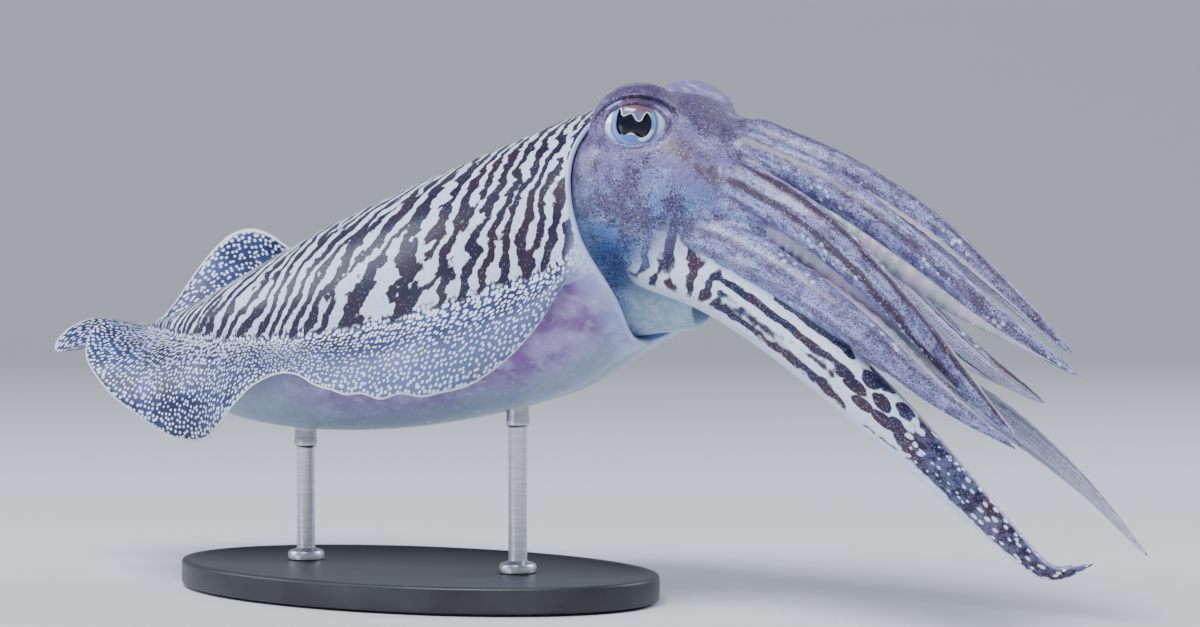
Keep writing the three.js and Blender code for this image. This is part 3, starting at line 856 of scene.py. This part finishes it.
arm_ground = face.blend(arm_ground, (0.022, 0.016, 0.05), (1 - specks.rise(0.25, 0.46)) * 0.75)
arm_ground = face.blend(arm_ground, (0.72, 0.80, 1.0), sparkle * 0.4)
spot_cells = face.cells(face.point(arm_mm, arm_round, 0.0), 0.28, 1.0, dimensions="2D")
spot_size = 0.18 * patches.rise(0.4, 0.6) + 0.05
white_spots = (1 - (spot_cells - spot_size).rise(-0.07, 0.03)) * arm_turn.math("ABSOLUTE").rise(0.5, 0.9)
white_spots = white_spots * arm_place.rise(0.15, 0.3)
arm_ground = face.blend(arm_ground, (0.74, 0.82, 1.0), white_spots * 0.7)
colour = face.blend(ground, arm_ground, on_arm)

# the lowest pair: white, with dark bands round the root, long bars, then spots towards the tip
low_mm, low_round, low_turn, low_near = (
    face.attribute(name) for name in ("low_mm", "low_round", "low_turn", "low_near"))
bend = low_round * low_round * 0.012
sway = face.noise(face.point(low_mm * 0.1, low_round * 0.1), 1.0, 2) - 0.5
band_point = face.point(low_mm - bend + sway * 9, low_round * 0.8)
bands = face.add("ShaderNodeTexGabor", {"gabor_type": "2D"}, {
    "Vector": band_point, "Scale": 0.078, "Frequency": 1.7, "Anisotropy": 0.9, "Orientation": 0.0}, "Value")
bar_point = face.point(low_round + sway * 4, low_mm * 0.16)
long_bars = face.add("ShaderNodeTexGabor", {"gabor_type": "2D"}, {
    "Vector": bar_point, "Scale": 0.11, "Frequency": 1.5, "Anisotropy": 0.85, "Orientation": 0.0}, "Value")
blobs = face.cells(face.point(low_mm * 0.7 + sway * 5, low_round), 0.17, 0.8, dimensions="2D")
flecks = face.cells(face.point(low_mm * 0.75 + sway * 4, low_round), 0.36, 1.0, dimensions="2D")
to_bars, to_blobs, to_spots = low_mm.rise(26, 40), low_mm.rise(72, 90), low_mm.rise(96, 118)
pattern = bands * (1 - to_bars) + long_bars * to_bars
pattern = pattern * (1 - to_blobs) + (blobs + 0.07) * to_blobs
pattern = pattern * (1 - to_spots) + (0.50 - (flecks - 0.2 - 0.5 * (patches - 0.5)) * 0.7) * to_spots
ragged = (grain - 0.5) * 0.16
banded = (pattern + ragged).rise(0.465, 0.53)
pale_edge = 1 - (low_turn - 0.25 * to_spots + (mid_cloud - 0.5) * 0.9).rise(-0.5, -0.3)
band_dark = face.blend((0.012, 0.012, 0.05), (0.050, 0.018, 0.035), patches.rise(0.4, 0.6))
band_dark = face.blend(band_dark, (0.20, 0.22, 0.46), mottle.rise(0.44, 0.56) * to_spots * 0.4)
band_dark = face.blend(band_dark, (0.20, 0.24, 0.48), (1 - specks.rise(0.2, 0.4)) * 0.5)
band_white = face.blend((0.76, 0.84, 1.0), (0.46, 0.56, 0.88), fine.rise(0.4, 0.75) * 0.5)
band_colour = face.blend(band_dark, band_white, banded.either(pale_edge))
band_reach = low_near - 0.62 * (1 - low_mm.rise(14, 36)) + (patches - 0.5) * 0.5
siphon = (1 - height_mm.rise(101, 105)) * (1 - side_place.rise(14, 17)) * (1 - forward_mm.rise(112, 118))
band_area = (bars + (mid_cloud - 0.5) * 0.5).rise(0.42, 0.58)
band_area = band_area * (1 - (band_reach + (mid_cloud - 0.5) * 0.9).rise(1.05, 1.5))
band_area = band_area * (low_mm + (patches - 0.5) * 10).rise(-8, 0)
band_area = band_area * (1 - siphon)
above_lobe = height_mm - 111 - (forward_mm - 95) * 0.66 + (mid_cloud - 0.5) * 8
band_area = band_area * (1 - above_lobe.rise(-9, 4) * (1 - low_mm.rise(26, 34)))
colour = face.blend(colour, band_colour, band_area)

# pale inner faces, clear membranes, the bluish neck with painted shadow on its top under the mantle's rim,
# and the translucent funnel
inner_side = oral.rise(0.35, 0.75) * by_arm
colour = face.blend(colour, (0.50, 0.53, 0.76), inner_side * 0.85)
colour = face.blend(colour, (0.78, 0.85, 1.0), white_spots * inner_side * 0.7)
film_colour = face.blend((0.56, 0.46, 0.60), (0.38, 0.46, 0.44), patches.rise(0.4, 0.6))
colour = face.blend(colour, face.blend(film_colour, (0.62, 0.66, 0.86), fine.rise(0.5, 0.8)), film * 0.9)
siphon_colour = face.blend((0.33, 0.50, 0.60), (0.48, 0.62, 0.74), grain.rise(0.4, 0.65))
colour = face.blend(colour, siphon_colour, siphon * 0.9)
neck = 1 - (forward_mm + (mid_cloud - 0.5) * 12).rise(70, 84)
# the neck is bluish below; its top is painted dark purple-brown as the shadow cast by the mantle's rim
rim_shadow_on_neck = (height_mm + (patches - 0.5) * 12).rise(122, 142)
neck_colour_and_shadow = face.blend((0.30, 0.42, 0.66), (0.10, 0.07, 0.17), rim_shadow_on_neck)
colour = face.blend(colour, neck_colour_and_shadow, neck * 0.75)

# the pale skin inside the ring of arms, the pleated lip and the dark beak
mouth_mm, mouth_turn = face.attribute("mouth"), face.attribute("mouth_turn")
crown_skin = (1 - (mouth_mm + (mid_cloud - 0.5) * 8).rise(12, 19)) * near.rise(0.95, 1.25)
crown_colour = face.blend((0.44, 0.46, 0.68), (0.30, 0.28, 0.50), mid_cloud.rise(0.4, 0.6))
colour = face.blend(colour, crown_colour, crown_skin)
pleats = face.noise(face.point(mouth_turn * 5, mouth_mm * 0.12), 1.0, 2)
lip_colour = face.blend((0.66, 0.60, 0.74), (0.34, 0.24, 0.42), pleats.rise(0.4, 0.62))
colour = face.blend(colour, lip_colour, 1 - mouth_mm.rise(8.6, 10))
colour = face.blend(colour, (0.11, 0.05, 0.08), 1 - mouth_mm.rise(3.2, 4.6))
colour = face.blend(colour, (0.012, 0.006, 0.006), 1 - mouth_mm.rise(1.9, 2.2))
head_material = face.finish({
    "Base Color": colour, "Roughness": 0.42, "Specular IOR Level": 0.35, "Coat Weight": 0.25,
    "Coat Roughness": 0.2, "Normal": face.bump(grain * 0.8 + face.noise(where, 150, 3) * 0.8, 0.0006, 0.7)})
head.data.materials.clear()
head.data.materials.append(head_material)


# Eyes. In life each is a ball under clear skin, with a silvery iris and a pupil shaped like a W. They
# are glass-smooth, set in the sockets behind the lids.
PUPIL = [
    (-5.35, 0.2), (-5.25, 2.3), (-4.95, 4.0), (-4.45, 3.9), (-3.95, 2.4), (-3.3, 1.8), (-2.3, 2.2),
    (-1.2, 2.8), (-0.3, 2.3), (0.6, 1.1), (1.5, 0.65), (2.4, 1.2), (2.9, 2.6), (3.5, 3.6), (4.3, 3.2),
    (5.05, 2.0), (5.4, 0.6), (5.3, -1.2), (4.6, -2.7), (3.5, -3.8), (2.3, -3.9), (1.1, -3.4),
    (-0.2, -3.1), (-1.5, -3.4), (-2.9, -3.9), (-4.0, -3.6), (-4.8, -2.5), (-5.25, -1.2),
]
BALL_INSET = 0.35
BALL_RADIUS = EYE_RADIUS - BALL_INSET
FRONT_REACH = 11.2
pupil_line = smooth_path([(x, y, 0) for x, y in [*PUPIL, PUPIL[0]]], 281)[:-1, :2]


def pupil_distance(x, y):
    """How far a spot of the eye is outside the pupil's edge, negative inside it."""
    spots = np.stack([x, y], axis=-1)[:, None]
    gap = np.linalg.norm(spots - pupil_line, axis=2).min(axis=1)
    a, b = pupil_line, np.roll(pupil_line, -1, axis=0)
    crosses = (a[:, 1] > y[:, None]) != (b[:, 1] > y[:, None])
    rise = np.where(np.abs(b[:, 1] - a[:, 1]) < 1e-9, 1e-9, b[:, 1] - a[:, 1])
    meets = x[:, None] < a[:, 0] + (y[:, None] - a[:, 1]) / rise * (b[:, 0] - a[:, 0])
    return np.where((crosses & meets).sum(axis=1) % 2 == 1, -gap, gap)


iris_paint = Paint("eye_glass")
eye_x, eye_y, pupil_gap = (iris_paint.attribute(name) for name in ("eye_x", "eye_y", "pupil_gap"))
where = iris_paint.object_point()
from_middle = (eye_x * eye_x + eye_y * eye_y).math("SQRT")
threads = iris_paint.noise(iris_paint.point(eye_x * 0.9, eye_y * 0.9), 2.2, 3)
iris = iris_paint.blend((0.10, 0.22, 0.62), (0.42, 0.55, 0.90), from_middle.rise(5.2, 7.6))
iris_ring = from_middle.math("SUBTRACT", 6.9).math("ABSOLUTE").rise(0.7, 0.1)
iris = iris_paint.blend(iris, (0.03, 0.09, 0.36), iris_ring * 0.8)
flap = (eye_y - 0.4).rise(0.0, 0.5) * (1 - eye_x.math("ABSOLUTE").rise(4.4, 5.4)) * pupil_gap.rise(0.0, 0.1)
flap_colour = iris_paint.blend((0.14, 0.18, 0.26), (0.20, 0.09, 0.12), eye_y.rise(2.6, 4.6))
iris = iris_paint.blend(iris, flap_colour, flap)
left_crescent = 1 - (eye_x + 8.0).math("ABSOLUTE").rise(0.7, 1.2)
left_crescent = left_crescent * (1 - eye_y.math("ABSOLUTE").rise(2.6, 4.0))
ring_right = (1 - from_middle.math("SUBTRACT", 8.3).math("ABSOLUTE").rise(0.6, 1.1)) * eye_x.rise(4.2, 5.6)
ring_right = ring_right * (eye_y + 2.0).rise(-0.8, 0.8)
lower_arc = (1 - pupil_gap.math("SUBTRACT", 0.45).math("ABSOLUTE").rise(0.35, 0.55))
lower_arc = lower_arc * eye_x.rise(1.6, 2.4) * (1 - eye_y.rise(-1.6, -0.9))
silver = left_crescent.either(ring_right).either(lower_arc)
iris = iris_paint.blend(iris, (0.86, 0.91, 1.0), silver)
iris = iris_paint.blend(iris, (0.30, 0.40, 0.75), threads.rise(0.5, 0.7) * 0.35 * (1 - silver))
iris = iris_paint.blend(iris, (0.002, 0.003, 0.016), 1 - pupil_gap.rise(-0.12, 0.02))
upper_line = (1 - pupil_gap.math("SUBTRACT", 0.14).math("ABSOLUTE").rise(0.14, 0.24))
upper_line = upper_line * (eye_y - 0.3).rise(0.0, 0.3) * (1 - (eye_x - 0.2).math("ABSOLUTE").rise(4.3, 4.9))
lower_bit = 1 - pupil_gap.math("ABSOLUTE").rise(0.10, 0.2)
lower_bit = lower_bit * (1 - (eye_x + 0.4).math("ABSOLUTE").rise(0.9, 1.3))
lower_bit = lower_bit * (1 - eye_y.rise(-2.6, -2.2))
iris = iris_paint.blend(iris, (0.90, 0.95, 1.0), upper_line.either(lower_bit))
eye_material = iris_paint.finish({
    "Base Color": iris, "Roughness": 0.22, "Specular IOR Level": 0.3,
    "Coat Weight": pupil_gap.rise(-0.5, 0.3) * 0.6 + 0.4, "Coat Roughness": 0.03, "Metallic": silver * 0.25})

for side, eye_name in ((-1, "eye_right"), (1, "eye_left")):
    out, forward, up = eye_axes(side)
    spread = np.concatenate([np.linspace(0, 7.2, 46), np.linspace(7.4, FRONT_REACH, 14)])
    turns = np.linspace(0, 2 * np.pi, 145)
    rows, marks_x, marks_y = [], [], []
    for r in spread:
        x, y = r * np.cos(turns), r * np.sin(turns)
        gap = pupil_distance(x, y)
        rise = -0.9 * ease(-gap / 0.6)
        upper_flap = 0.4 * ease(gap / 0.25) * ease((y - 0.2) / 0.8) * ease((5.2 - np.abs(x)) / 0.8)
        rise = rise + upper_flap * ease((6 - y) / 2)
        around = np.hypot(x / LID_LENGTH, (y + 0.3) / LID_HEIGHT)
        depth = math.sqrt(EYE_RADIUS**2 - r**2) - BALL_INSET + rise - 1.9 * ease((around - 1.05) / 0.3)
        rows.append(eye_middle(side) + x[:, None] * forward + y[:, None] * up + depth[:, None] * out)
        marks_x.append(x)
        marks_y.append(y)
    for angle in np.linspace(math.asin(FRONT_REACH / EYE_RADIUS), math.pi, 22)[1:]:
        x = BALL_RADIUS * math.sin(angle) * np.cos(turns)
        y = BALL_RADIUS * math.sin(angle) * np.sin(turns)
        depth = BALL_RADIUS * math.cos(angle)
        rows.append(eye_middle(side) + x[:, None] * forward + y[:, None] * up + depth * out)
        marks_x.append(x + 20)
        marks_y.append(y)
    eye = grid_piece(eye_name + "_ball", rows)
    x, y = np.concatenate(marks_x), np.concatenate(marks_y)
    store(eye, "eye_x", x)
    store(eye, "eye_y", y)
    store(eye, "pupil_gap", pupil_distance(x, y))
    close_piece(eye)
    bpy.ops.object.shade_smooth()
    eye.data.materials.clear()
    eye.data.materials.append(eye_material)
    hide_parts(eye_name)
    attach(eye, "root")


# Suckers. The arms' inner faces carry four rows of small pale cups on short stalks, each a soft ring
# of flesh round a hollow.
bpy.ops.object.select_all(action="DESELECT")
bpy.ops.mesh.primitive_cylinder_add(vertices=9, radius=1, depth=1, location=(0, 0, 0.1))
cup = bpy.context.object
bpy.ops.object.transform_apply(location=True, rotation=False, scale=False)
middles = np.array([face.center for face in cup.data.polygons])
choose(cup, middles[:, 2] > 0.55)
bpy.ops.mesh.inset(thickness=0.3)
bpy.ops.mesh.inset(thickness=0.16)
bpy.ops.transform.translate(value=(0, 0, -0.45))
leave_edit()
cup_points = np.array([corner.co for corner in cup.data.vertices])
cup_faces = [list(face.vertices) for face in cup.data.polygons]
bpy.data.objects.remove(cup)
SUCKER_TILTS = (-33, -11, 11, 33)
SUCKERS_START, SUCKERS_END = 0.13, 0.965
SUCKER_SIZE, SUCKER_LEAST, SUCKER_STEP = 0.128, 0.34, 2.5
sucker_points, sucker_faces = [], []
for name in ARMS:
    middle, ahead, inward, sideways, radius, u = arm_frames(name, 401)
    thin = ARMS[name][3]
    length = np.linalg.norm(np.diff(middle, axis=0), axis=1).sum()
    flat = unit(np.array([0, 1, 0]) - ahead * ahead[:, 1:2])
    tall = np.cross(ahead, flat)
    for row, tilt in enumerate(SUCKER_TILTS):
        place_mm = length * SUCKERS_START + (row % 2) * 1.0
        while place_mm < length * SUCKERS_END:
            i = int(place_mm / length * 400)
            size = max(SUCKER_LEAST, SUCKER_SIZE * radius[i])
            way = inward[i] * math.cos(math.radians(tilt)) + sideways[i] * math.sin(math.radians(tilt))
            reach_mm = radius[i] / math.hypot(way @ flat[i] / thin, way @ tall[i])
            right_hand = unit(np.cross(ahead[i], way))
            turn = np.stack([ahead[i], right_hand, way], axis=1)
            base = middle[i] + way * (reach_mm - 0.15 * size)
            first = len(sucker_points) * len(cup_points)
            sucker_faces += [[first + corner for corner in face] for face in cup_faces]
            sucker_points.append(base + (cup_points * size) @ turn.T)
            place_mm += size * SUCKER_STEP
suckers_mesh = bpy.data.meshes.new("suckers")
suckers_mesh.from_pydata((np.concatenate(sucker_points) * MM).tolist(), [], sucker_faces)
suckers = bpy.data.objects.new("suckers", suckers_mesh)
bpy.context.scene.collection.objects.link(suckers)
close_piece(suckers, 0.0000001)
bpy.ops.object.shade_smooth()
cup_paint = Paint("sucker_flesh")
where = cup_paint.object_point()
tone = cup_paint.noise(where, 600, 3)
cup_material = cup_paint.finish({
    "Base Color": cup_paint.blend((0.72, 0.72, 0.84), (0.50, 0.50, 0.70), tone.rise(0.35, 0.7)),
    "Roughness": 0.4, "Coat Weight": 0.4, "Coat Roughness": 0.15,
    "Normal": cup_paint.bump(tone, 0.0002, 0.4)})
suckers.data.materials.append(cup_material)
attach(suckers, "root")


# Skin over all. Mantle, fins, head, arms and funnel are joined into one piece, with the free rim of the
# mantle standing open round the neck, as it does in the animal.
bpy.ops.object.select_all(action="DESELECT")
mantle.select_set(True)
head.select_set(True)
bpy.context.view_layer.objects.active = mantle
bpy.ops.object.shade_smooth()
flesh = [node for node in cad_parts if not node.startswith(("stand_", "eye_"))]
skin_piece = join([mantle, head])
skin_piece.name = "skin"
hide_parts(*flesh)
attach(skin_piece, "root")


# Stand. An oval plate of satin black board with a milled edge, on a felt pad, carries two steel rods
# that are screwed into it through ferrules and end in small caps under the belly.
FELT_THICK = 0.0008
plate_low, plate_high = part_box("stand_base")
plate_size = np.array(plate_high) - np.array(plate_low)
bpy.ops.object.select_all(action="DESELECT")
bpy.ops.mesh.primitive_cylinder_add(vertices=160, radius=0.5, depth=1, location=(0, 0, 0.5))
plate = bpy.context.object
plate.name = "stand_plate"
bpy.ops.transform.resize(value=(plate_size[0], plate_size[1], plate_size[2] - FELT_THICK))
plate.location = (0, 0, FELT_THICK + (plate_size[2] - FELT_THICK) / 2)
bpy.ops.object.transform_apply(location=True, rotation=False, scale=True)
middles = face_middles(plate)
choose(plate, middles[:, 2] > 8.9)
bpy.ops.mesh.inset(thickness=0.0035)
bpy.ops.mesh.inset(thickness=0.0006)
bpy.ops.transform.translate(value=(0, 0, -0.0004))
leave_edit()
apply_modifier(plate, "BEVEL", width=0.0011, segments=4, limit_method="ANGLE", angle_limit=math.radians(40))
bpy.ops.object.shade_smooth_by_angle(angle=math.radians(35))
board = Paint("satin_board")
where = board.object_point()
cloud = board.noise(where, 45, 4)
dust = board.noise(where, 900, 3)
plate.data.materials.clear()
plate.data.materials.append(board.finish({
    "Base Color": board.blend((0.018, 0.019, 0.022), (0.035, 0.037, 0.042), cloud.rise(0.35, 0.7)),
    "Roughness": 0.34 + 0.14 * cloud, "Normal": board.bump(dust, 0.00012, 0.35)}))
bpy.ops.object.select_all(action="DESELECT")
bpy.ops.mesh.primitive_cylinder_add(
    vertices=96, radius=0.5, depth=FELT_THICK, location=(0, 0, FELT_THICK / 2))
felt = bpy.context.object
felt.name = "stand_felt"
bpy.ops.transform.resize(value=(plate_size[0] - 0.006, plate_size[1] - 0.006, 1))
bpy.ops.object.transform_apply(location=True, rotation=False, scale=True)
apply_modifier(felt, "BEVEL", width=0.0002, segments=2, limit_method="ANGLE", angle_limit=math.radians(40))
wool = Paint("felt")
where = wool.object_point()
fluff = wool.noise(where, 1500, 4)
felt.data.materials.clear()
felt.data.materials.append(wool.finish({
    "Base Color": wool.blend((0.02, 0.025, 0.03), (0.05, 0.055, 0.065), fluff.rise(0.35, 0.7)),
    "Roughness": 0.95, "Normal": wool.bump(fluff, 0.0003, 0.6)}))
steel = Paint("brushed_steel")
where = steel.object_point()
steel_x, steel_y, steel_z = (steel.part(where, index) for index in range(3))
brush = steel.noise(steel.point(steel_x * 60, steel_y * 60, steel_z * 4000), 1.0, 3)
wear = steel.noise(where, 120, 3)
steel_material = steel.finish({
    "Base Color": steel.blend((0.52, 0.53, 0.55), (0.70, 0.71, 0.72), brush.rise(0.35, 0.7)),
    "Metallic": 1.0, "Roughness": 0.24 + 0.16 * wear + 0.06 * brush,
    "Normal": steel.bump(brush, 0.00004, 0.5)})
for rod_name in ("stand_rod_rear", "stand_rod_front"):
    low, high = (np.array(corner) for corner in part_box(rod_name))
    middle = (low + high) / 2
    foot = plate_high[2] - 0.0004
    top = high[2] + 0.0012
    turned = [
        (3.0, foot), (5.6, foot), (6.0, foot + 0.0004), (6.0, foot + 0.0022), (5.5, foot + 0.0030),
        (3.6, foot + 0.0036), (3.05, foot + 0.0040), (3.0, foot + 0.0044), (3.0, top - 0.0080),
        (3.1, top - 0.0076), (3.7, top - 0.0070), (3.8, top - 0.0056), (3.6, top - 0.0050), (3.6, top),
    ]
    turns = np.linspace(0, 2 * np.pi, 49)
    rows = [np.stack([middle[0] / MM + r * np.cos(turns), middle[1] / MM + r * np.sin(turns),
                      np.full(49, z / MM)], axis=1) for r, z in turned]
    rod = grid_piece(rod_name + "_turned", rows)
    close_piece(rod)
    bpy.ops.object.shade_smooth_by_angle(angle=math.radians(35))
    rod.data.materials.clear()
    rod.data.materials.append(steel_material)
    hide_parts(rod_name)
    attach(rod, "root")
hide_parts("stand_base")
for piece in (plate, felt):
    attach(piece, "root")


# Stage. The floor is a wide sheet of pale matt paper that curves up behind, lit by large soft lamps
# above and beside it, with a faint even light from all round.
rows = []
turns = np.linspace(0, 2 * np.pi, 97)
sweep = [(1.5 + 0.9 * math.sin(a), 0.9 - 0.9 * math.cos(a)) for a in np.linspace(0, math.pi / 2, 13)[1:]]
for r, z in [(0.001, 0), (0.8, 0), (1.5, 0), *sweep, (2.4, 2.2)]:
    rows.append(np.stack([r * np.cos(turns), r * np.sin(turns), np.full(97, z)], axis=1) / MM)
floor = grid_piece("floor", rows)
edit(floor)
bpy.ops.mesh.remove_doubles(threshold=0.0001)
leave_edit()
bpy.ops.object.shade_smooth()
paper = Paint("floor_paper")
floor.data.materials.clear()
floor.data.materials.append(paper.finish({
    "Base Color": (0.68, 0.70, 0.73, 1), "Roughness": 0.9, "Specular IOR Level": 0.2}))
for place_m, size, power, tint in (
        ((0.0, -0.85, 1.45), 0.7, 30, (1, 1, 1)), ((-1.1, -0.5, 0.7), 0.7, 10, (0.78, 0.86, 1)),
        ((0.9, 0.8, 0.9), 0.8, 14, (0.82, 0.88, 1)), ((-0.5, -1.1, 0.05), 0.4, 2.0, (0.72, 0.80, 1))):
    bpy.ops.object.light_add(type="AREA", location=place_m)
    light = bpy.context.object
    light.data.energy, light.data.size, light.data.color = power, size, tint
    light.rotation_euler = (Vector((0.05, 0, 0.11)) - light.location).to_track_quat("-Z", "Y").to_euler()
world = bpy.data.worlds.new("soft_room")
bpy.context.scene.world = world
world.use_nodes = True
world.node_tree.nodes["Background"].inputs["Color"].default_value = (0.80, 0.87, 1, 1)
world.node_tree.nodes["Background"].inputs["Strength"].default_value = 0.16
